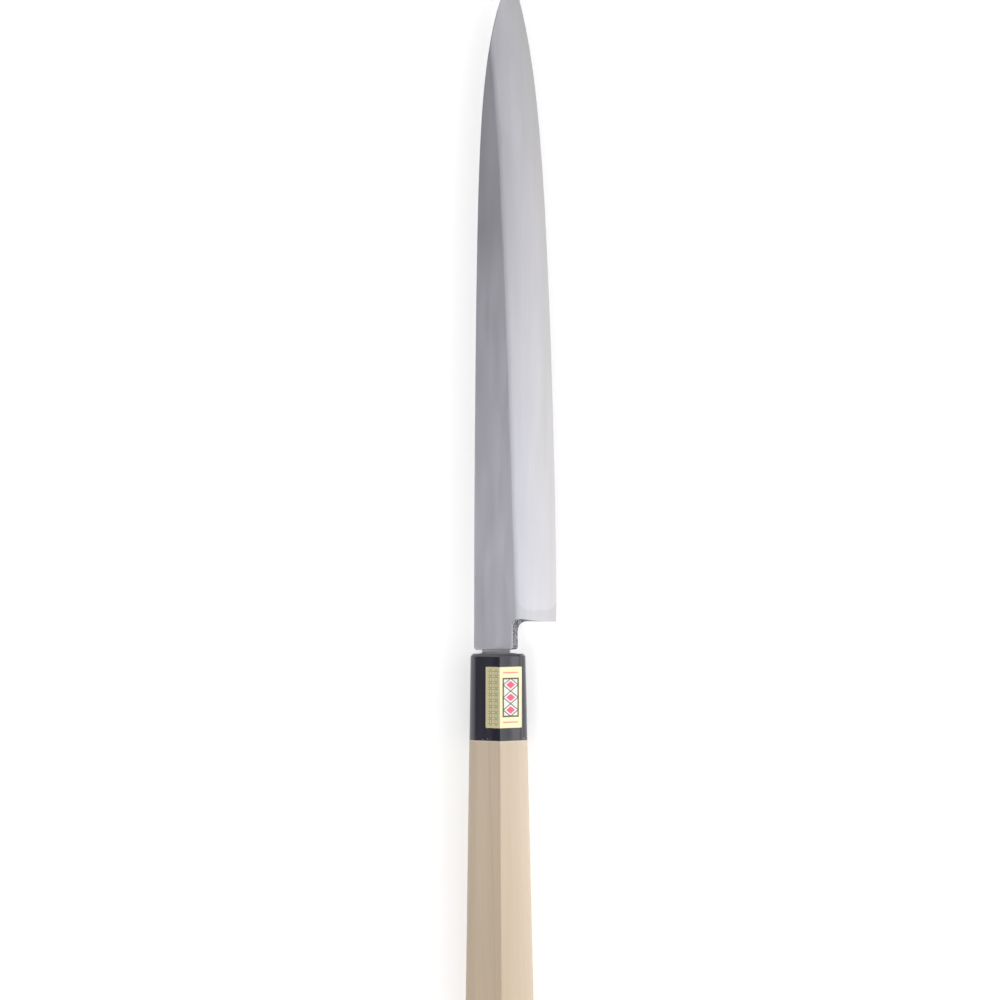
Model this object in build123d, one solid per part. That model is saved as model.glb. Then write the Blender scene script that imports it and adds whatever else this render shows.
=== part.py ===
"""Yanagiba: a long single-bevel slicing knife with a horn ferrule and a ridged wooden handle.

Millimetres. +X runs towards the point, -Y towards the cutting edge, and +Z out of the bevelled face.
While the pieces are modelled, x is zero at the ferrule's front face, and y and z are zero on the
handle's axis. At the end they all move together, so that the origin lies below the middle of the
knife, level with its lowest point.
"""
import os
from math import atan2, degrees

from build123d import *

# Blade, seen on its bevelled face, from the shoulders of the neck to the point
blade_length = 271.4
blade_height = 33.1
spine_rise = 9.6
point_drop = 14.8
neck_length = 11.0
neck_height = 17.8
choil_radius = 3.9
choil_top_radius = 2.8
choil_slant = 2.3
heel_slant = 1.5
shoulder_radius = 1.0

# Blade, seen in section
neck_thickness = 3.8
point_thickness = 1.4
edge_thickness = 0.15
bevel_bulge = 0.12
spine_round = 0.35
hollow_radius = 245.0
spine_rim = 2.8
edge_rim = 1.3
hollow_setback = 1.5
hollow_run_in = 36.0

# Hard steel that is forge-welded to the back of the soft iron
steel_thickness_share = 0.5
steel_setback = 4.5

# Tang, behind the shoulders, where it is as thick as the neck
shoulder_gap = 1.6
tang_length = 104.0
tang_height = 11.4
tang_end_height = 8.0
tang_end_thickness = 2.4
tang_end_radius = 1.5

# Handle, from the ferrule's front face to the butt
ferrule_length = 34.4
wood_length = 111.6
butt_height = 27.4
butt_droop = 0.7
rim_chamfer = 1.0
butt_chamfer = 1.2

# Section of the handle at its front
front_height = 22.0
ridge_rise = 9.9
ridge_offset = 0.65
belly_drop = 8.8
shoulder_rise = 3.9
cheek_drop = 2.4
facet_bulge = 0.35
corner_radius = 5.3

# Tenon of the wood inside the ferrule, and the hole for the tang
tenon_height = 15.0
tenon_thickness = 12.0
tenon_setback = 0.4
glue_gap = 0.1
tang_clearance = 0.2
tang_hole_spare = 3.0

# Label round the ferrule's ridge
label_length = 24.3
label_setback = 5.0
label_spine_reach = 4.9
label_edge_reach = 9.5
label_radius = 0.4
label_thickness = 0.12

# One overrun serves all cuts
overrun = 2.0

# Curve of the spine and of the edge: a gentle fall all along, and a sharp one close to the point
spine_gentle_share = 0.236
spine_gentle_power = 2.12
spine_sharp_power = 10.2
edge_gentle_share = 0.547
edge_gentle_power = 1.83
edge_sharp_power = 8.95

# Places along the blade where its outline is set out, as shares of the blade's length
outline_shares = (0, 0.15, 0.3, 0.45, 0.6, 0.72, 0.81, 0.88, 0.93, 0.97, 1)

# Line where the flat face turns into the bevel: share of the length, share of the height.
# It reaches the spine at about 0.89 of the length, and from there the bevel fills the whole width.
shinogi_shares = (
    (0.02, 0.484),
    (0.10, 0.508),
    (0.22, 0.538),
    (0.36, 0.574),
    (0.52, 0.622),
    (0.66, 0.672),
    (0.75, 0.713),
    (0.82, 0.753),
    (0.86, 0.782),
    (0.885, 0.806),
    (0.92, 0.845),
    (0.96, 0.895),
    (1.02, 0.975),
)

# The bevel's surface runs past its two lines by these shares of its width
bevel_spare_low_share = 0.25
bevel_spare_high_share = 0.4

# The hollow of the back deepens over its run-in, follows these places along the blade, and runs out
hollow_run_in_shares = (0, 0.15, 0.35, 0.6)
hollow_start_share = 0.3
hollow_shares = (0.2, 0.3, 0.45, 0.6, 0.72, 0.81, 0.88, 0.94)
hollow_end_share = 0.975

# Places that several pieces share
back_z = -neck_thickness / 2
heel_y = spine_rise - blade_height
neck_low_y = spine_rise - neck_height
tang_y = (spine_rise + neck_low_y) / 2
heel_x = shoulder_gap + neck_length
steel_start_x = shoulder_gap + steel_setback
joint_plane = Plane(origin=(-ferrule_length, 0, 0), z_dir=(1, 0, 0))


def blade_x(share):
    """Place along the knife at a share of the blade's length."""
    return shoulder_gap + blade_length * share


def spine_y(share):
    """Height of the spine at a share of the blade's length."""
    gentle = spine_gentle_share * share**spine_gentle_power
    sharp = (1 - spine_gentle_share) * share**spine_sharp_power
    return spine_rise - point_drop * (gentle + sharp)


def edge_y(share):
    """Height of the cutting edge at a share of the blade's length."""
    gentle = edge_gentle_share * share**edge_gentle_power
    sharp = (1 - edge_gentle_share) * share**edge_sharp_power
    return heel_y + (blade_height - point_drop) * (gentle + sharp)


def thickness(share):
    """Thickness of the blade under its flat face at a share of its length."""
    return neck_thickness + (point_thickness - neck_thickness) * share


def taper_plane(thickness_share):
    """Plane at a share of the blade's thickness, which gets thinner towards the point."""
    rise = (point_thickness - neck_thickness) * thickness_share
    along = Vector(blade_length, 0, rise)
    across = Vector(0, 1, 0)
    start = Vector(shoulder_gap, 0, back_z + neck_thickness * thickness_share)
    return Plane(origin=start, x_dir=along, z_dir=along.cross(across))


def blade_blank():
    """Slab with the curves of the spine and the edge, square at the neck."""
    spine = Spline([(blade_x(share), spine_y(share)) for share in outline_shares])
    edge = Spline([(blade_x(share), edge_y(share)) for share in reversed(outline_shares)])
    shoulders = Line(edge @ 1, spine @ 0)
    outline = make_face([spine, edge, shoulders])
    return Pos(0, 0, back_z) * extrude(outline, neck_thickness)


def choil_section(level):
    """Notch below the neck, at a level between the back, 0, and the bevelled face, 1."""
    neck_y = neck_low_y + choil_slant * level
    radius = choil_radius + (choil_top_radius - choil_radius) * level
    corner = Vector(heel_x + heel_slant * level, neck_y)
    heel = Vector(heel_x, heel_y)
    past_heel = heel + (heel - corner).normalized() * overrun
    rear_x = shoulder_gap - overrun
    cut = FilletPolyline((rear_x, neck_y), corner, past_heel, radius=radius)
    frame = Polyline(past_heel, (rear_x, past_heel.Y), (rear_x, neck_y))
    return Pos(0, 0, back_z + neck_thickness * level) * make_face([*cut.edges(), *frame.edges()])


def choil_cutter():
    """Slanted notch: its walls lean so that they show from the bevelled side."""
    spare = overrun / neck_thickness
    return loft([choil_section(-spare), choil_section(1 + spare)], ruled=True)


def bevel_section(length_share, height_share):
    """What is ground away above the bevel, at one place along the blade."""
    x = blade_x(length_share)
    edge = Vector(x, edge_y(length_share), back_z + edge_thickness)
    shinogi = Vector(x, heel_y + blade_height * height_share, back_z + thickness(length_share))

    def on_bevel(share):
        bulge = bevel_bulge * 4 * share * (1 - share)
        return edge + (shinogi - edge) * share + Vector(0, 0, bulge)

    low = on_bevel(-bevel_spare_low_share)
    high = on_bevel(1 + bevel_spare_high_share)
    top_z = back_z + 2 * neck_thickness + overrun
    top_high = Vector(x, high.Y, top_z)
    top_low = Vector(x, low.Y, top_z)
    surface = Edge.make_three_point_arc(low, on_bevel(0.5), high)
    sides = [
        Edge.make_line(high, top_high),
        Edge.make_line(top_high, top_low),
        Edge.make_line(top_low, low),
    ]
    return Face(Wire([surface, *sides]))


def bevel_cutter():
    """Slightly convex bevel from the shinogi line down to the cutting edge."""
    return loft([bevel_section(*shares) for shares in shinogi_shares])


def hollow_section(x, middle_y, depth):
    """What the wheel takes out of the back, at one place along the blade."""
    reach = blade_height / 2
    end_z = back_z + depth - reach**2 / (2 * hollow_radius)
    spine_end = Vector(x, middle_y + reach, end_z)
    edge_end = Vector(x, middle_y - reach, end_z)
    base_z = back_z - overrun
    spine_base = Vector(x, spine_end.Y, base_z)
    edge_base = Vector(x, edge_end.Y, base_z)
    wheel = Edge.make_three_point_arc(spine_end, Vector(x, middle_y, back_z + depth), edge_end)
    sides = [
        Edge.make_line(edge_end, edge_base),
        Edge.make_line(edge_base, spine_base),
        Edge.make_line(spine_base, spine_end),
    ]
    return Face(Wire([wheel, *sides]))


def hollow_lines(share):
    """Middle and depth of the hollow, whose rims follow the spine and the edge."""
    high = spine_y(share) - spine_rim
    low = edge_y(share) + edge_rim
    depth = (high - low) ** 2 / (8 * hollow_radius)
    return (high + low) / 2, depth


def hollow_cutter():
    """Hollow-ground back: it starts behind a flat at the heel and runs out before the point."""
    run_in_x = heel_x + hollow_setback
    sections = []
    for share in hollow_run_in_shares:
        x = run_in_x + hollow_run_in * share
        middle_y, depth = hollow_lines((x - shoulder_gap) / blade_length)
        missing_share = (1 + hollow_start_share) * (1 - share) ** 3
        sections.append(hollow_section(x, middle_y, depth * (1 - missing_share)))
    for share in hollow_shares:
        sections.append(hollow_section(blade_x(share), *hollow_lines(share)))
    end_y, end_depth = hollow_lines(hollow_end_share)
    last_depth = hollow_lines(hollow_shares[-1])[1]
    sections.append(hollow_section(blade_x(hollow_end_share), end_y, -last_depth - end_depth))
    return loft(sections)


def tapered_bar(length, clearance):
    """Tang behind the shoulders, or the hole for it when it gets a clearance."""
    front = Plane(origin=(shoulder_gap, tang_y, 0), x_dir=(0, 1, 0), z_dir=(-1, 0, 0))
    length_share = length / tang_length
    end_height = tang_height + (tang_end_height - tang_height) * length_share
    end_thickness = neck_thickness + (tang_end_thickness - neck_thickness) * length_share
    spare = 2 * clearance
    wide = Rectangle(tang_height + spare, neck_thickness + spare)
    narrow = Rectangle(end_height + spare, end_thickness + spare)
    return loft([front * wide, front * Pos(0, 0, length) * narrow])


def is_shoulder_corner(edge):
    """True for the two upright edges at the rear of the neck."""
    at_rear = abs(edge.bounding_box().max.X - shoulder_gap) < shoulder_gap / 10
    upright = edge.bounding_box().size.Z > neck_thickness / 2
    return at_rear and upright


def is_spine_edge(edge):
    """True for the long edges on both sides of the spine."""
    return edge.length > blade_length / 2 and (edge @ 0.5).Y > spine_rise / 2


def whole_blade():
    """Blade with neck and tang, before it is divided into iron and steel."""
    blade = blade_blank() - choil_cutter()
    corners = [edge for edge in blade.edges() if is_shoulder_corner(edge)]
    blade = fillet(corners, shoulder_radius)
    blade = split(blade, taper_plane(1), keep=Keep.BOTTOM)
    blade = blade - bevel_cutter()
    blade = fillet([edge for edge in blade.edges() if is_spine_edge(edge)], spine_round)
    return blade - hollow_cutter()


def blade_pieces():
    """Soft iron body with the tang, and the hard steel that backs it and carries the edge."""
    blade = whole_blade()
    steel_end = Plane(origin=(steel_start_x, 0, 0), z_dir=(1, 0, 0))
    steel = split(blade, steel_end, keep=Keep.TOP)
    steel = split(steel, taper_plane(steel_thickness_share), keep=Keep.BOTTOM)
    iron = blade - steel
    tang = tapered_bar(tang_length, 0)
    tang_end = tang.faces().sort_by(Axis.X)[0]
    tang = fillet(tang_end.edges().filter_by(Axis.Z), tang_end_radius)
    return iron + tang, steel


def handle_section(growth):
    """Chestnut section at the front, grown all round: two curved facets, a ridge and a round belly."""
    half = front_height / 2
    ridge = (-ridge_offset, ridge_rise)
    spine_shoulder = (half, shoulder_rise)
    edge_shoulder = (-half, shoulder_rise)
    spine_cheek = (half, -cheek_drop)
    edge_cheek = (-half, -cheek_drop)
    lines = [
        SagittaArc(ridge, spine_shoulder, -facet_bulge),
        Line(spine_shoulder, spine_cheek),
        ThreePointArc(spine_cheek, (0, -belly_drop), edge_cheek),
        Line(edge_cheek, edge_shoulder),
        SagittaArc(edge_shoulder, ridge, -facet_bulge),
    ]
    section = make_face(lines)
    corners = [corner for corner in section.vertices() if abs(corner.X) > half / 2]
    return offset(fillet(corners, corner_radius), growth, kind=Kind.INTERSECTION)


def handle_envelope(skin):
    """Whole handle, grown by a skin: it narrows evenly from the butt, and droops a little there."""
    handle_length = ferrule_length + wood_length
    widening = (butt_height - front_height) / 2
    length = handle_length + overrun
    narrowing = widening * length / handle_length
    butt = Plane(origin=(-handle_length, 0, 0), x_dir=(0, 1, 0), z_dir=(1, 0, 0))
    taper = degrees(atan2(narrowing, length))
    envelope = extrude(butt * handle_section(widening + skin), length, taper=taper)
    return Rot(0, 0, degrees(atan2(butt_droop, handle_length))) * envelope


def oval_bar(front_x, length, gap):
    """Tenon of the wood, or the bore round it when it gets a gap."""
    start = Plane(origin=(front_x, 0, 0), x_dir=(0, 1, 0), z_dir=(-1, 0, 0))
    return extrude(start * Ellipse(tenon_height / 2 + gap, tenon_thickness / 2 + gap), length)


def ferrule_piece():
    """Horn tube with a chamfered front rim."""
    ferrule = split(handle_envelope(0), joint_plane, keep=Keep.TOP)
    ferrule = split(ferrule, Plane.YZ, keep=Keep.BOTTOM)
    rim = ferrule.faces().sort_by(Axis.X)[-1].edges()
    ferrule = chamfer(rim, rim_chamfer)
    return ferrule - oval_bar(overrun, ferrule_length + 2 * overrun, glue_gap)


def handle_piece():
    """Wood with a tenon for the ferrule and a tapered hole for the tang."""
    wood = split(handle_envelope(0), joint_plane, keep=Keep.BOTTOM)
    butt = wood.faces().sort_by(Axis.X)[0].edges()
    wood = chamfer(butt, butt_chamfer)
    wood = wood + oval_bar(-tenon_setback, ferrule_length - tenon_setback + overrun, 0)
    return wood - tapered_bar(tang_length + tang_hole_spare, tang_clearance)


def label_piece():
    """Thin label that lies on the ferrule's two facets, over the ridge."""
    label_height = label_spine_reach + label_edge_reach
    middle_x = -label_setback - label_length / 2
    middle_y = (label_spine_reach - label_edge_reach) / 2
    outline = Pos(middle_x, middle_y) * RectangleRounded(label_length, label_height, label_radius)
    column = extrude(outline, ridge_rise + overrun)
    return handle_envelope(label_thickness) & column - handle_envelope(0)


blade_body, edge_steel = blade_pieces()
pieces = {
    "blade_body": blade_body,
    "edge_steel": edge_steel,
    "ferrule": ferrule_piece(),
    "handle": handle_piece(),
    "label": label_piece(),
}

# The origin goes below the middle of the knife, level with its lowest point
whole = Compound(children=[Compound(piece.solids()) for piece in pieces.values()])
bounds = whole.bounding_box()
centre = bounds.center()
to_origin = Pos(-centre.X, -centre.Y, -bounds.min.Z)

os.makedirs("parts", exist_ok=True)
for name, piece in pieces.items():
    placed = to_origin * Compound(piece.solids())
    export_step(placed, f"parts/{name}.step")
    print(name, len(placed.solids()), round(placed.volume, 2))
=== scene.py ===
"""Looks of the yanagiba: satin steel, polished horn, bare magnolia and a small foil label.

Metres, in the frame of the CAD model: +X towards the point, -Y towards the edge, +Z towards the camera.
"""

from math import cos, radians, sin

import bpy
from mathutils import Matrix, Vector


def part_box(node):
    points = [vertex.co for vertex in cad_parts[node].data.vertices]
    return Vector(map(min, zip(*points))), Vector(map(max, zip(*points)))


MM = 0.001

# Camera: it looks straight down, with the point at the top of the picture
VIEW_DISTANCE = 1.5
VIEW_HEIGHT = 0.400
SENSOR = 36.0
VIEW_AHEAD_OF_FERRULE = 61.4 * MM
VIEW_OFF_FERRULE = -0.64 * MM

# Light
LAMP_DISTANCE = 1.9
CEILING_STRENGTH = 0.15
WALL_STRENGTH = 0.45
WALL_TOP = 0.5
WALL_RISE_AT_ENDS = 0.6
FLOOR_REACH = 3.0
FLOOR_GLOW = 0.4
FLOOR_NEAR = 0.5
FLOOR_FAR = 1.6
FLOOR_TINT = (0.9, 0.9, 0.9, 1)
FLOOR_ROUGHNESS = 0.9

# Sizes that the source of the CAD model gives
SHOULDER_GAP = 1.6 * MM
POINT_THICKNESS = 1.4 * MM
NECK_LENGTH = 11.0 * MM
HEEL_SLANT = 1.5 * MM
NECK_HEIGHT = 17.8 * MM
CHOIL_SLANT = 2.3 * MM
CHOIL_TOP_RADIUS = 2.8 * MM
BEVEL_BULGE = 0.12 * MM
STEEL_THICKNESS_SHARE = 0.5
RIDGE_OFF_MIDDLE = 0.45 * MM
FACET_TILT = 22

# Steel: tints by place, with painted light and shade that meet the light's unevenness along the blade and
# across the bevel
FLAT_TINT = (0.585, 0.577, 0.637)
IRON_TINT = (0.664, 0.656, 0.699)
IRON_TINT_SHADED_AT_LINE = (0.621, 0.626, 0.674)
SHINOGI_SHADE_TINT = (0.42, 0.42, 0.46)
STEEL_TINT = (0.662, 0.652, 0.682)
STEEL_TINT_SHADED_AT_EDGE = (0.610, 0.597, 0.608)
SCALE_TINT = (0.09, 0.09, 0.10)
SCALE_SPECK_TINT = (0.42, 0.42, 0.45)
CHOIL_RIM_HIGHLIGHT_TINT = (0.95, 0.95, 0.97)
HOLLOW_TINT = (0.50, 0.50, 0.53)
BACK_RIM_TINT = (0.68, 0.68, 0.70)
HEEL_DARK_REACH = 3.4 * MM
HEEL_DARK_SHADE = 0.915
SHINOGI_SOFTNESS = 0.6 * MM
BRUSH_DEPTH = 0.001 * MM

# Horn
HORN_TINT = (0.009, 0.006, 0.021)
HORN_STREAK_TINT = (0.020, 0.016, 0.036)
FLECK_TINT = (0.34, 0.33, 0.32)
HORN_IOR = 1.75
HORN_SOFTNESS = 0.3 * MM
HORN_RIPPLE = 0.003 * MM

# Wood
WOOD_TINT = (0.700, 0.575, 0.440)
WOOD_TINT_WARM = (0.732, 0.594, 0.446)
JOINT_TINT = (0.86, 0.80, 0.70)
END_TINT = (0.600, 0.485, 0.350)
END_RING_TINT = (0.500, 0.390, 0.270)
PAINTED_LIGHT_AT_EDGE_SIDE = (1.16, 1.19, 1.26)
DARKER_AT_BUTT = (0.955, 0.935, 0.90)
WOOD_ROUGHNESS = 0.52
WOOD_SOFTNESS = 0.4 * MM
GRAIN_DEPTH = 0.006 * MM
GRAIN_LEAN = 0.026
GROWTH_LINE = 11.4 * MM
RING_CENTRE_Y = 31 * MM
RING_CENTRE_Z = -14 * MM
RING_STEP = 2.3 * MM
RING_WANDER = 0.6 * MM

# Label
GOLD_TINT = (0.900, 0.835, 0.500)
PAPER_TINT = (0.980, 0.965, 0.910)
INK_TINT = (0.075, 0.055, 0.030)
PINK_TINT = (0.960, 0.100, 0.220)
FOIL_SHARE = 0.4
LACQUER = 0.8
LACQUER_ROUGHNESS = 0.25
FOIL_SOFTNESS = 0.2 * MM
ROLLED_DEPTH = 0.003 * MM
RING_MARGIN = 1.0 * MM
RING_CELL = 2.4 * MM
RING_LINE = 0.22 * MM
PANEL_LENGTH = 15.0 * MM
PANEL_WIDTH = 6.4 * MM
PANEL_LINE = 0.6 * MM
DIAMOND_LENGTH = 5.0 * MM
STRIPE_INSET = 2.3 * MM

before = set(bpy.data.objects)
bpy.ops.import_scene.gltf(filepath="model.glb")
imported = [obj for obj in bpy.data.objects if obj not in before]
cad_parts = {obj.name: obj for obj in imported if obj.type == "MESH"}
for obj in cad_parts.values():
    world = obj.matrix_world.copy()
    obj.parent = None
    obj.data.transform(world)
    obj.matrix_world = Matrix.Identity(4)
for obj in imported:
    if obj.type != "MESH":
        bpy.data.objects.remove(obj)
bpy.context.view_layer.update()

blade_low, blade_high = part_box("blade_body")
steel_low, steel_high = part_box("edge_steel")
ferrule_low, ferrule_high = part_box("ferrule")
wood_low, wood_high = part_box("handle")
label_low, label_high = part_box("label")
shoulder_x = ferrule_high.x + SHOULDER_GAP
heel_x = shoulder_x + NECK_LENGTH + HEEL_SLANT
point_x = steel_high.x
ridge_y = (ferrule_low.y + ferrule_high.y) / 2 - RIDGE_OFF_MIDDLE
facet_share = cos(radians(FACET_TILT))


class Tree:
    """A node tree, built by short calls."""

    def __init__(self, tree):
        self.tree = tree

    def add(self, kind, inputs=None, **settings):
        node = self.tree.nodes.new(kind)
        for key, value in settings.items():
            setattr(node, key, value)
        for key, value in (inputs or {}).items():
            self.set(node.inputs[key], value)
        return node

    def set(self, socket, value):
        if isinstance(value, bpy.types.NodeSocket):
            self.tree.links.new(value, socket)
        else:
            socket.default_value = value

    def split(self, vector):
        node = self.add("ShaderNodeSeparateXYZ", {"Vector": vector})
        return node.outputs["X"], node.outputs["Y"], node.outputs["Z"]

    def math(self, operation, a, b=0.0):
        return self.add("ShaderNodeMath", {0: a, 1: b}, operation=operation).outputs["Value"]

    def plus(self, a, b):
        return self.math("ADD", a, b)

    def minus(self, a, b):
        return self.math("SUBTRACT", a, b)

    def times(self, first, *others):
        for other in others:
            first = self.math("MULTIPLY", first, other)
        return first

    def over(self, a, b):
        return self.math("DIVIDE", a, b)

    def most(self, a, b):
        return self.math("MAXIMUM", a, b)

    def size(self, value):
        return self.math("ABSOLUTE", value)

    def reach(self, a, b):
        """Length of a flat vector."""
        return self.math("SQRT", self.plus(self.times(a, a), self.times(b, b)))

    def map(self, kind, value, low, high, to_low, to_high):
        inputs = {"Value": value, "From Min": low, "From Max": high, "To Min": to_low, "To Max": to_high}
        return self.add("ShaderNodeMapRange", inputs, interpolation_type=kind).outputs["Result"]

    def ramp(self, value, low, high, to_low=0.0, to_high=1.0):
        """Soft step between two values."""
        return self.map("SMOOTHSTEP", value, low, high, to_low, to_high)

    def line(self, value, low, high, to_low=0.0, to_high=1.0):
        """Straight slope between two values, level outside them."""
        return self.map("LINEAR", value, low, high, to_low, to_high)


class Surface(Tree):
    """A material's node tree, with the place on the piece."""

    def __init__(self, name):
        self.material = bpy.data.materials.new(name)
        self.material.use_nodes = True
        super().__init__(self.material.node_tree)
        self.shader = self.tree.nodes["Principled BSDF"]
        self.at = self.add("ShaderNodeTexCoord").outputs["Object"]
        self.x, self.y, self.z = self.split(self.at)

    def lean(self, slope):
        """Lean the textures across the piece, and give the leaning distance."""
        leaning = self.minus(self.y, self.times(self.x, slope))
        place = {"X": self.x, "Y": leaning, "Z": self.z}
        self.at = self.add("ShaderNodeCombineXYZ", place).outputs["Vector"]
        return leaning

    def normal(self):
        return self.split(self.add("ShaderNodeNewGeometry").outputs["Normal"])

    def noise(self, scale, detail=3.0, roughness=0.5):
        """Noise between 0 and 1, with its features per metre along each axis."""
        stretched = self.tint(self.at, scale)
        inputs = {"Vector": stretched, "Scale": 1.0, "Detail": detail, "Roughness": roughness}
        return self.add("ShaderNodeTexNoise", inputs).outputs["Fac"]

    def vary(self, low, high, scale, detail=3.0, roughness=0.5):
        """Noise that wanders between two values."""
        return self.line(self.noise(scale, detail, roughness), 0.3, 0.7, low, high)

    def mix(self, factor, a, b):
        node = self.add("ShaderNodeMix", data_type="RGBA")
        for key, value in (("Factor_Float", factor), ("A_Color", a), ("B_Color", b)):
            socket = next(socket for socket in node.inputs if socket.identifier == key)
            self.set(socket, (*value, 1) if isinstance(value, tuple) and len(value) == 3 else value)
        return next(socket for socket in node.outputs if socket.identifier == "Result_Color")

    def shade(self, colour, *factors):
        """Colour times numbers."""
        node = self.add("ShaderNodeVectorMath", {0: colour}, operation="SCALE")
        self.set(node.inputs["Scale"], self.times(*factors))
        return node.outputs["Vector"]

    def tint(self, colour, by):
        """Colour times a colour."""
        return self.add("ShaderNodeVectorMath", {0: colour, 1: by}, operation="MULTIPLY").outputs["Vector"]

    def relief(self, height, softening):
        """Relief of a height in metres, on a surface whose sharp edges are softened to a radius."""
        rounded = self.add("ShaderNodeBevel", {"Radius": softening}, samples=4).outputs["Normal"]
        inputs = {"Height": height, "Strength": 1.0, "Distance": 1.0, "Normal": rounded}
        return self.add("ShaderNodeBump", inputs).outputs["Normal"]

    def finish(self, colour, roughness, normal=None):
        self.set(self.shader.inputs["Base Color"], colour)
        self.set(self.shader.inputs["Roughness"], roughness)
        if normal is not None:
            self.set(self.shader.inputs["Normal"], normal)
        return self.material


def wear(node, material):
    """Give a CAD node its material."""
    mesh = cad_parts[node].data
    if not mesh.materials:
        mesh.materials.append(material)
    for place in range(len(mesh.materials)):
        mesh.materials[place] = material


def level_in_blade(nodes):
    """Height of a point in the blade's thickness: 0 on the back, 1 level with the flat."""
    neck_thickness = blade_high.z - blade_low.z
    thickness = nodes.line(nodes.x, shoulder_x, point_x, neck_thickness, POINT_THICKNESS)
    return nodes.over(nodes.minus(nodes.z, blade_low.z), thickness)


def past_choil(nodes):
    """Distance from the rounded outline of the notch, where it meets the flat."""
    corner_y = blade_high.y - NECK_HEIGHT + CHOIL_SLANT
    along = nodes.most(nodes.minus(nodes.x, heel_x - CHOIL_TOP_RADIUS), 0.0)
    across = nodes.most(nodes.minus(nodes.y, corner_y - CHOIL_TOP_RADIUS), 0.0)
    return nodes.minus(nodes.reach(along, across), CHOIL_TOP_RADIUS)


def flat_face(nodes, at_point):
    """Fine lengthwise brushing, with painted light: lighter away from the spine and in the middle of the
    blade, darker at the neck, lifted at the point.
    """
    brushed = nodes.vary(0.975, 1.025, (14, 3200, 0), 4, 0.65)
    clouds = nodes.vary(0.97, 1.03, (26, 130, 0), 2)
    # Painted light and shade: the factors below brighten or darken the flat by place, not the steel's own
    # colour
    across = nodes.line(nodes.y, blade_high.y, blade_high.y - 14 * MM, 1.0, 1.07)
    neck = nodes.line(nodes.x, ferrule_high.x, ferrule_high.x + 40 * MM, 0.85, 1.0)
    middle = nodes.ramp(nodes.x, point_x - 80 * MM, point_x - 160 * MM, 0.93, 1.08)
    point = nodes.line(at_point, 0.0, 1.0, 1.0, 1.12)
    return nodes.shade(FLAT_TINT, across, brushed, clouds, point, neck, middle)


def heel_darkening(nodes, level):
    """Darker at the heel's end, up to a front with rounded corners."""
    to_border = nodes.size(nodes.line(level, 0.0, 1.0, -1.0, 1.0))
    corners = nodes.math("POWER", to_border, 5.0)
    reach = nodes.line(corners, 0.0, 1.0, heel_x + HEEL_DARK_REACH, heel_x + 2.6 * HEEL_DARK_REACH)
    reach = nodes.plus(reach, nodes.vary(-0.4 * MM, 0.4 * MM, (150, 260, 0)))
    return nodes.ramp(nodes.minus(nodes.x, reach), -0.9 * MM, 0.7 * MM, HEEL_DARK_SHADE, 1.0)


def bevel_face(nodes, level, at_point):
    """Bluish haze on the iron, clearer and warmer on the hard steel, along a line that wanders, with painted
    shade across the bevel and painted light towards the point.
    """
    weld = nodes.plus(level, nodes.vary(-0.05, 0.05, (30, 160, 0), 2))
    # Painted shade: the iron darkens towards the shinogi line and the steel towards the edge
    iron = nodes.mix(nodes.ramp(level, 0.62, 1.0), IRON_TINT, IRON_TINT_SHADED_AT_LINE)
    steel = nodes.mix(nodes.ramp(level, 0.10, 0.50), STEEL_TINT_SHADED_AT_EDGE, STEEL_TINT)
    bevel = nodes.mix(nodes.ramp(weld, 0.46, 0.66), steel, iron)
    # Painted light and shade towards the point: lighter near the shinogi, darker near the edge
    painted_light_at_point = nodes.plus(1.0, nodes.times(at_point, nodes.line(level, 0.05, 0.95, -0.06, 0.13)))
    streaks = nodes.vary(0.985, 1.015, (9, 900, 0), 3, 0.6)
    clouds = nodes.vary(0.97, 1.03, (22, 240, 0), 3)
    bevel = nodes.shade(bevel, painted_light_at_point, streaks, clouds, heel_darkening(nodes, level))
    # Painted shade: a darker band along the shinogi
    return nodes.mix(nodes.times(nodes.ramp(level, 0.90, 1.0), 0.5), bevel, SHINOGI_SHADE_TINT)


def bevel_curve(nodes, level):
    """Height of the bevel's curve over the two straight strips that the mesh has in its place."""
    across_strip = nodes.math("FRACT", nodes.over(level, STEEL_THICKNESS_SHARE))
    return nodes.times(across_strip, nodes.minus(1.0, across_strip), BEVEL_BULGE)


def choil_places(nodes, on_flat, normal_y, normal_z):
    """Where the rough choil shows, ragged against the flat, and the painted highlight on the rim beyond it.
    """
    ragged = nodes.vary(-0.22 * MM, 0.16 * MM, (700, 700, 0), 2, 0.7)
    past = past_choil(nodes)
    rim = nodes.times(nodes.ramp(past, 0.35 * MM, 0.85 * MM, 1.0, 0.0), on_flat)
    bitten = nodes.times(nodes.ramp(nodes.plus(past, ragged), 0.18 * MM, 0.30 * MM, 1.0, 0.0), on_flat)
    wall = nodes.times(nodes.ramp(normal_z, 0.9, 0.7), nodes.ramp(normal_y, 0.3, 0.1))
    near = nodes.ramp(nodes.x, heel_x + 5 * MM, heel_x + 3 * MM)
    return nodes.times(nodes.most(wall, bitten), near), rim


def forge_scale(nodes):
    """Dark scale with lighter specks."""
    specks = nodes.ramp(nodes.noise((1500, 1500, 1500), 3, 0.6), 0.40, 0.62)
    return nodes.mix(specks, SCALE_TINT, SCALE_SPECK_TINT)


def back_face(nodes, hollowed):
    """Bright honed rim round a duller hollow with the wheel's marks across it."""
    marks = nodes.vary(0.93, 1.07, (2400, 30, 0), 3, 0.6)
    return nodes.mix(hollowed, BACK_RIM_TINT, nodes.shade(HOLLOW_TINT, marks))


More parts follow.
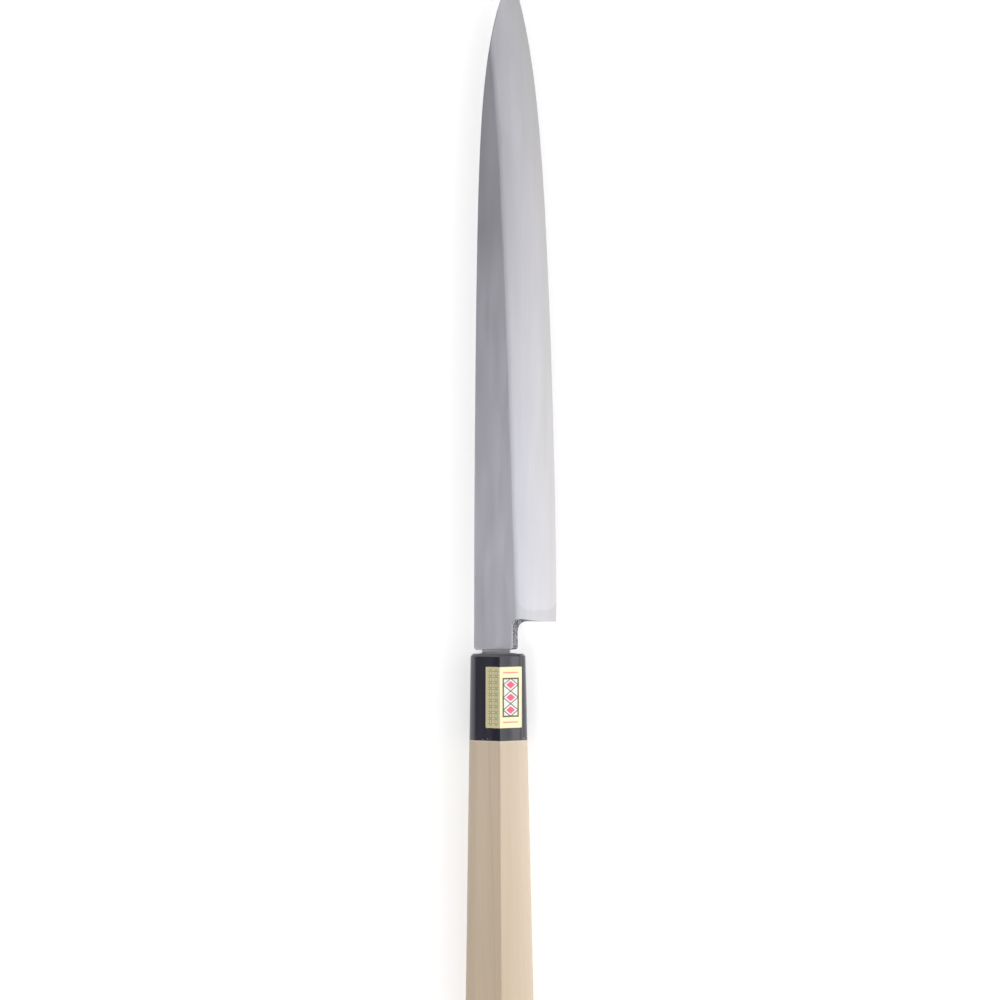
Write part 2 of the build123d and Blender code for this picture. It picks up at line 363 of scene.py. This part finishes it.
def ground_steel(name):
    """Satin flat, hazy bevel, rough dark choil and hollow back."""
    nodes = Surface(name)
    _, normal_y, normal_z = nodes.normal()
    level = level_in_blade(nodes)
    at_point = nodes.ramp(nodes.x, point_x - 85 * MM, point_x - 45 * MM)
    on_bevel = nodes.times(nodes.ramp(normal_y, -0.03, -0.09), nodes.ramp(normal_z, 0.5, 0.9))
    on_flat = nodes.times(nodes.ramp(normal_z, 0.9, 0.99), nodes.minus(1.0, on_bevel))
    on_back = nodes.ramp(normal_z, -0.5, -0.9)
    hollowed = nodes.ramp(level, 0.004, 0.02)
    in_choil, rim = choil_places(nodes, on_flat, normal_y, normal_z)

    colour = nodes.mix(on_bevel, flat_face(nodes, at_point), bevel_face(nodes, level, at_point))
    # Painted highlight on the notch's rim, where it meets the flat
    colour = nodes.mix(nodes.times(rim, 0.32), colour, CHOIL_RIM_HIGHLIGHT_TINT)
    colour = nodes.mix(in_choil, colour, forge_scale(nodes))
    colour = nodes.mix(on_back, colour, back_face(nodes, hollowed))

    roughness = nodes.vary(0.33, 0.37, (40, 300, 300))
    roughness = nodes.plus(roughness, nodes.times(in_choil, 0.27))
    roughness = nodes.minus(roughness, nodes.times(on_back, nodes.line(hollowed, 0.0, 1.0, 0.10, 0.0)))
    brushing = nodes.times(nodes.noise((60, 5200, 5200), 3, 0.6), BRUSH_DEPTH)
    height = nodes.plus(nodes.times(bevel_curve(nodes, level), on_bevel), brushing)
    softening = nodes.ramp(level, 0.70, 0.80, 0.0, SHINOGI_SOFTNESS)
    nodes.shader.inputs["Metallic"].default_value = 1.0
    return nodes.finish(colour, roughness, nodes.relief(height, softening))


def horn():
    """Polished near-black buffalo horn with faint lengthwise streaks and a few pale flecks."""
    nodes = Surface("horn")
    streaks = nodes.ramp(nodes.noise((16, 420, 420), 4, 0.6), 0.35, 0.7)
    colour = nodes.mix(streaks, HORN_TINT, HORN_STREAK_TINT)
    flecks = nodes.ramp(nodes.noise((260, 900, 900), 2), 0.78, 0.82)
    chips = nodes.ramp(nodes.noise((900, 900, 900), 2), 0.66, 0.70)
    at_joint = nodes.ramp(nodes.x, ferrule_low.x + 1.6 * MM, ferrule_low.x + 0.6 * MM)
    colour = nodes.mix(nodes.most(nodes.times(flecks, 0.6), nodes.times(chips, at_joint)), colour, FLECK_TINT)
    roughness = nodes.vary(0.11, 0.15, (120, 700, 700))
    ripple = nodes.times(nodes.noise((40, 900, 900), 2), HORN_RIPPLE)
    nodes.shader.inputs["IOR"].default_value = HORN_IOR
    return nodes.finish(colour, roughness, nodes.relief(ripple, HORN_SOFTNESS))


def end_grain(nodes):
    """Growth rings in section."""
    radius = nodes.reach(nodes.minus(nodes.y, RING_CENTRE_Y), nodes.minus(nodes.z, RING_CENTRE_Z))
    unsteady = nodes.line(nodes.noise((0, 160, 160), 3), 0.0, 1.0, -RING_WANDER, RING_WANDER)
    season = nodes.math("FRACT", nodes.over(nodes.plus(radius, unsteady), RING_STEP))
    rings = nodes.times(nodes.ramp(season, 0.0, 0.8), nodes.ramp(season, 0.8, 1.0, 1.0, 0.0))
    pores = nodes.ramp(nodes.noise((0, 3600, 3600), 2), 0.55, 0.75, 1.0, 0.88)
    return nodes.shade(nodes.mix(nodes.times(rings, 0.6), END_TINT, END_RING_TINT), pores)


def wood():
    """Bare magnolia: pale and fine, with faint growth lines that lean a little across the handle."""
    nodes = Surface("pale_wood")
    leaning_y = nodes.lean(GRAIN_LEAN)
    broad = nodes.vary(0.975, 1.025, (7, 90, 90), 2)
    grain = nodes.vary(0.97, 1.03, (11, 1100, 1100), 4, 0.6)
    pores = nodes.ramp(nodes.noise((240, 4200, 4200), 2), 0.62, 0.74, 1.0, 0.94)
    colour = nodes.mix(nodes.noise((9, 200, 200), 2), WOOD_TINT, WOOD_TINT_WARM)
    colour = nodes.shade(colour, broad, grain, pores)
    # Painted light: the handle grows paler towards the edge side, as if the lamps lit it more there
    to_edge_side = nodes.line(nodes.y, ridge_y - 3 * MM, wood_low.y)
    colour = nodes.mix(to_edge_side, colour, nodes.tint(colour, PAINTED_LIGHT_AT_EDGE_SIDE))

    # One darker growth line beside the ridge, a bare end that is darker towards the butt, and a pale line at
    # the joint
    from_growth_line = nodes.size(nodes.minus(leaning_y, GROWTH_LINE))
    colour = nodes.shade(colour, nodes.ramp(from_growth_line, 0.15 * MM, 0.45 * MM, 0.955, 1.0))
    towards_butt = nodes.ramp(nodes.x, ferrule_low.x - 10 * MM, wood_low.x)
    colour = nodes.mix(towards_butt, colour, nodes.tint(colour, DARKER_AT_BUTT))
    at_joint = nodes.ramp(nodes.x, ferrule_low.x - 0.9 * MM, ferrule_low.x - 0.3 * MM)
    colour = nodes.mix(nodes.times(at_joint, 0.35), colour, JOINT_TINT)

    on_butt = nodes.ramp(nodes.normal()[0], -0.6, -0.9)
    colour = nodes.mix(on_butt, colour, end_grain(nodes))
    height = nodes.times(nodes.plus(nodes.times(grain, 2.0), pores), GRAIN_DEPTH)
    return nodes.finish(colour, WOOD_ROUGHNESS, nodes.relief(height, WOOD_SOFTNESS))


def within(nodes, distance, half):
    """1 where a distance is under half of a width."""
    return nodes.ramp(nodes.size(distance), half - 0.04 * MM, half + 0.04 * MM, 1.0, 0.0)


def past_box(nodes, along, across, half_length, half_width):
    """Signed distance from a rectangle's outline, below zero inside."""
    ends = nodes.minus(nodes.size(along), half_length)
    sides = nodes.minus(nodes.size(across), half_width)
    return nodes.most(ends, sides)


def off_nearest_ring(nodes, along, across):
    """Distance from the nearest of many overlapping rings, each through its neighbours' centres."""
    u = nodes.size(nodes.minus(nodes.math("FRACT", nodes.over(along, RING_CELL)), 0.5))
    v = nodes.size(nodes.minus(nodes.math("FRACT", nodes.over(across, RING_CELL)), 0.5))
    half_diagonal = 0.5 ** 0.5
    beside = nodes.reach(nodes.plus(u, 0.5), nodes.minus(0.5, v))
    above = nodes.reach(nodes.minus(0.5, u), nodes.plus(v, 0.5))
    off_beside = nodes.size(nodes.minus(beside, half_diagonal))
    off_above = nodes.size(nodes.minus(above, half_diagonal))
    return nodes.times(nodes.math("MINIMUM", off_beside, off_above), RING_CELL)


def ring_column(nodes, along, across, length):
    """Thin overlapping rings in a column on the spine side of the ridge."""
    spine_reach = (label_high.y - ridge_y) / facet_share
    off_middle = nodes.minus(across, (spine_reach - RING_MARGIN) / 2 + 0.2 * MM)
    column = past_box(nodes, along, off_middle, length / 2 - RING_MARGIN, RING_CELL)
    ring = within(nodes, off_nearest_ring(nodes, along, off_middle), RING_LINE / 2)
    return nodes.times(ring, nodes.ramp(column, 0.0, -0.05 * MM))


def diamond_row(nodes, colour, along, off_centre, panel):
    """White panel in a dark frame, with a row of diamonds, each round a pink one."""
    colour = nodes.mix(nodes.ramp(panel, 0.05 * MM, -0.05 * MM), colour, PAPER_TINT)
    turn = nodes.math("FRACT", nodes.plus(nodes.over(along, DIAMOND_LENGTH), 0.5))
    spread = nodes.plus(nodes.size(nodes.minus(turn, 0.5)), nodes.size(nodes.over(off_centre, PANEL_WIDTH)))
    inside = nodes.ramp(panel, 0.0, -0.05 * MM)
    outline = nodes.ramp(nodes.size(nodes.minus(spread, 0.5)), 0.035, 0.055, 1.0, 0.0)
    colour = nodes.mix(nodes.times(outline, inside), colour, INK_TINT)
    colour = nodes.mix(nodes.times(nodes.ramp(spread, 0.31, 0.29), inside), colour, PINK_TINT)
    return nodes.mix(within(nodes, panel, PANEL_LINE / 2), colour, INK_TINT)


def end_stripes(nodes, along, off_centre, length):
    """Two stripes across the ends of the edge side."""
    off_stripe = nodes.size(nodes.minus(nodes.size(along), length / 2 - STRIPE_INSET))
    reach = PANEL_WIDTH / 2
    short = nodes.ramp(nodes.size(off_centre), reach, reach + 0.08 * MM, 1.0, 0.0)
    return nodes.times(nodes.ramp(off_stripe, 0.22 * MM, 0.30 * MM, 1.0, 0.0), short)


def foil():
    """Cream-gold foil: rings on one side of the ridge, a framed row of diamonds on the other."""
    nodes = Surface("foil_label")
    length = label_high.x - label_low.x
    along = nodes.minus(nodes.x, (label_low.x + label_high.x) / 2)
    across = nodes.over(nodes.minus(nodes.y, ridge_y), facet_share)
    off_centre = nodes.plus(across, (ridge_y - label_low.y) / facet_share / 2)
    panel = past_box(nodes, along, off_centre, PANEL_LENGTH / 2, PANEL_WIDTH / 2)
    ring = ring_column(nodes, along, across, length)
    stripe = end_stripes(nodes, along, off_centre, length)

    rolled = nodes.vary(0.97, 1.03, (70, 1500, 1500))
    colour = nodes.shade(GOLD_TINT, rolled)
    colour = nodes.mix(nodes.times(ring, 0.55), colour, INK_TINT)
    colour = diamond_row(nodes, colour, along, off_centre, panel)
    colour = nodes.mix(nodes.times(stripe, 0.7), colour, PINK_TINT)

    printed = nodes.most(nodes.most(ring, stripe), nodes.ramp(panel, 0.3 * MM, 0.2 * MM))
    nodes.set(nodes.shader.inputs["Metallic"], nodes.line(printed, 0.0, 1.0, FOIL_SHARE, 0.0))
    nodes.shader.inputs["Coat Weight"].default_value = LACQUER
    nodes.shader.inputs["Coat Roughness"].default_value = LACQUER_ROUGHNESS
    roughness = nodes.vary(0.31, 0.37, (90, 700, 700))
    return nodes.finish(colour, roughness, nodes.relief(nodes.times(rolled, ROLLED_DEPTH), FOIL_SOFTNESS))


def seen_directly(nodes):
    """1 for the rays that show a background: from the camera, off gloss and through glass."""
    path = nodes.add("ShaderNodeLightPath").outputs
    return nodes.most(nodes.most(path["Is Camera Ray"], path["Is Glossy Ray"]), path["Is Transmission Ray"])


def floor():
    """White floor that keeps the knife's shadow and glows more with distance."""
    nodes = Surface("floor")
    glow = nodes.line(nodes.reach(nodes.x, nodes.y), FLOOR_NEAR, FLOOR_FAR, FLOOR_GLOW, 1.0)
    nodes.shader.inputs["Emission Color"].default_value = (1, 1, 1, 1)
    nodes.set(nodes.shader.inputs["Emission Strength"], nodes.times(seen_directly(nodes), glow))
    nodes.finish(FLOOR_TINT, FLOOR_ROUGHNESS)
    mesh = bpy.data.meshes.new("floor")
    corners = [(x * FLOOR_REACH, y * FLOOR_REACH, 0) for x, y in ((-1, -1), (1, -1), (1, 1), (-1, 1))]
    mesh.from_pydata(corners, [], [(0, 1, 2, 3)])
    mesh.materials.append(nodes.material)
    piece = bpy.data.objects.new("floor", mesh)
    bpy.context.scene.collection.objects.link(piece)


def softbox(name, tilt, turn, size, power):
    """Soft lamp aimed at the knife: tilt is from straight above, turn from the edge's side to the butt's."""
    across = LAMP_DISTANCE * sin(radians(tilt))
    place = Vector((
        -across * sin(radians(turn)),
        -across * cos(radians(turn)),
        LAMP_DISTANCE * cos(radians(tilt)),
    ))
    lamp = bpy.data.lights.new(name, "AREA")
    lamp.shape = "RECTANGLE"
    lamp.size, lamp.size_y = size
    lamp.energy = power
    piece = bpy.data.objects.new(name, lamp)
    piece.location = place
    piece.rotation_euler = (-place).to_track_quat("-Z", "Y").to_euler()
    bpy.context.scene.collection.objects.link(piece)


def studio():
    """Dim ceiling over pale walls, higher past the point and the butt, that show as a white background."""
    world = bpy.data.worlds.new("studio")
    world.use_nodes = True
    nodes = Tree(world.node_tree)
    x, _, z = nodes.split(nodes.add("ShaderNodeTexCoord").outputs["Generated"])
    height = nodes.minus(z, nodes.times(x, x, WALL_RISE_AT_ENDS))
    wall = nodes.line(seen_directly(nodes), 0.0, 1.0, WALL_STRENGTH, 1.0)
    low = nodes.ramp(height, 0.0, WALL_TOP, 1.0, 0.0)
    background = nodes.tree.nodes["Background"]
    background.inputs["Color"].default_value = (1, 1, 1, 1)
    nodes.set(background.inputs["Strength"], nodes.line(low, 0.0, 1.0, CEILING_STRENGTH, wall))
    bpy.context.scene.world = world


def camera():
    """Camera straight above, far away, turned so that the point is at the top."""
    place = Vector((
        ferrule_high.x + VIEW_AHEAD_OF_FERRULE,
        (ferrule_low.y + ferrule_high.y) / 2 + VIEW_OFF_FERRULE,
        (blade_low.z + blade_high.z) / 2 + VIEW_DISTANCE,
    ))
    data = bpy.data.cameras.new("camera")
    data.sensor_width = SENSOR
    data.lens = SENSOR * VIEW_DISTANCE / VIEW_HEIGHT
    piece = bpy.data.objects.new("camera", data)
    piece.location = place
    piece.rotation_euler = (0, 0, radians(-90))
    bpy.context.scene.collection.objects.link(piece)
    bpy.context.scene.camera = piece


wear("blade_body", ground_steel("soft_iron"))
wear("edge_steel", ground_steel("hard_steel"))
wear("ferrule", horn())
wear("handle", wood())
wear("label", foil())
floor()
studio()
softbox("handle_side", tilt=30, turn=130, size=(0.9, 0.9), power=11)
softbox("edge_high", tilt=26, turn=5, size=(2.0, 1.1), power=7.3)
softbox("edge_mid", tilt=48, turn=-2, size=(3.0, 0.9), power=7.5)
softbox("edge_low", tilt=68, turn=-8, size=(3.0, 1.7), power=14)
softbox("spine_mid", tilt=50, turn=172, size=(3.0, 0.7), power=1.2)
camera()

bpy.context.scene.view_settings.view_transform = "Standard"
